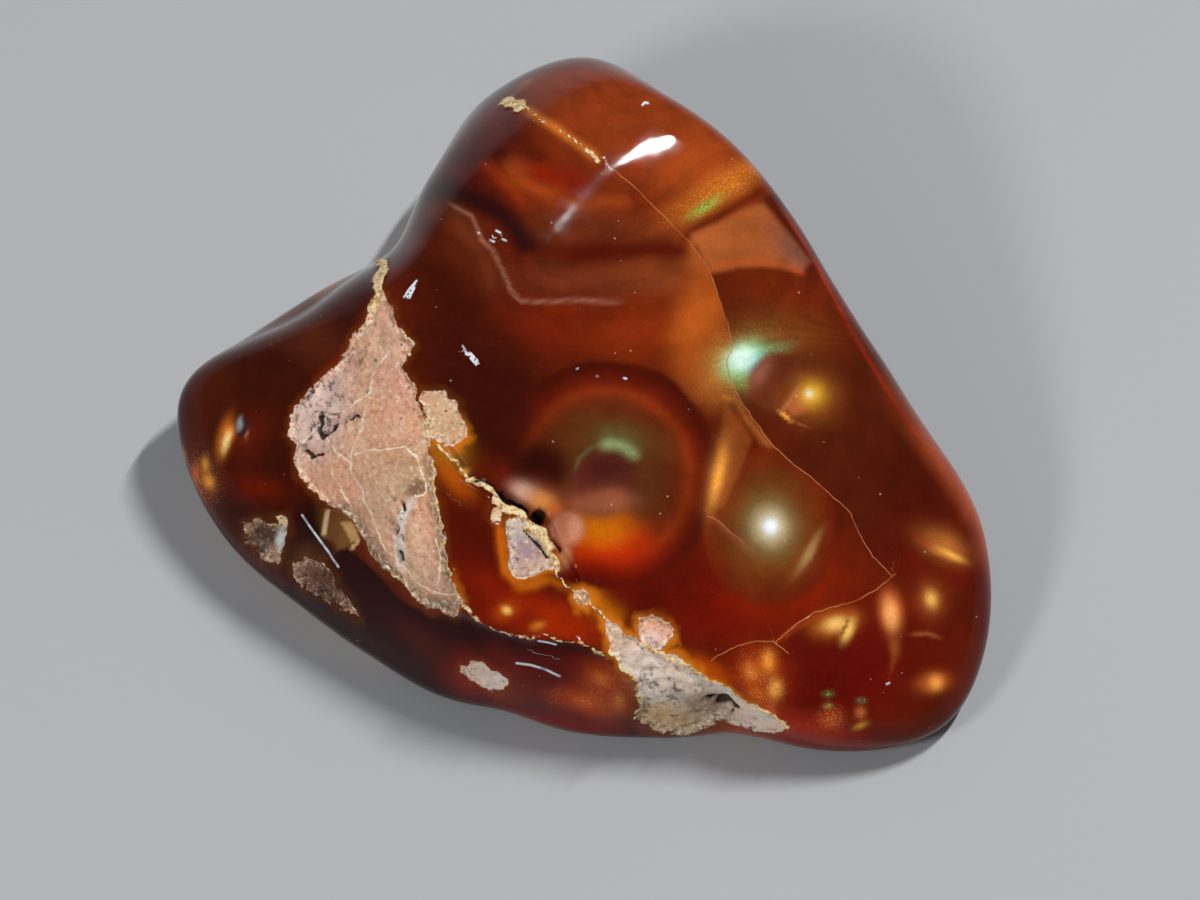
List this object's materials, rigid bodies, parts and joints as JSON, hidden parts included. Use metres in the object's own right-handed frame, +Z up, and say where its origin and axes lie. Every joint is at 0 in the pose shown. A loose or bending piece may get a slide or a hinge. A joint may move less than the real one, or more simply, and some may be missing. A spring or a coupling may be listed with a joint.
{
  "type": "fire agate stone",
  "caption": "Polished freeform of rough fire agate, a low rounded wedge with remains of rough host rock along its left side and front, resting on a flat base.",
  "frame": {"origin": "middle of the bounding box at the underside, on the flat base", "axes": "+Z up, out of the flat base; +X along the longest side, towards the thin rounded end; +Y towards the far, thick end"},
  "size_m": [0.0338, 0.03, 0.0148],
  "materials": {
    "fire_agate": "glassy polish over dark red-brown agate, with rough pinkish-brown host rock in places"
  },
  "bodies": {
    "root": {"fire_agate": "fire_agate"}
  },
  "joints": []
}
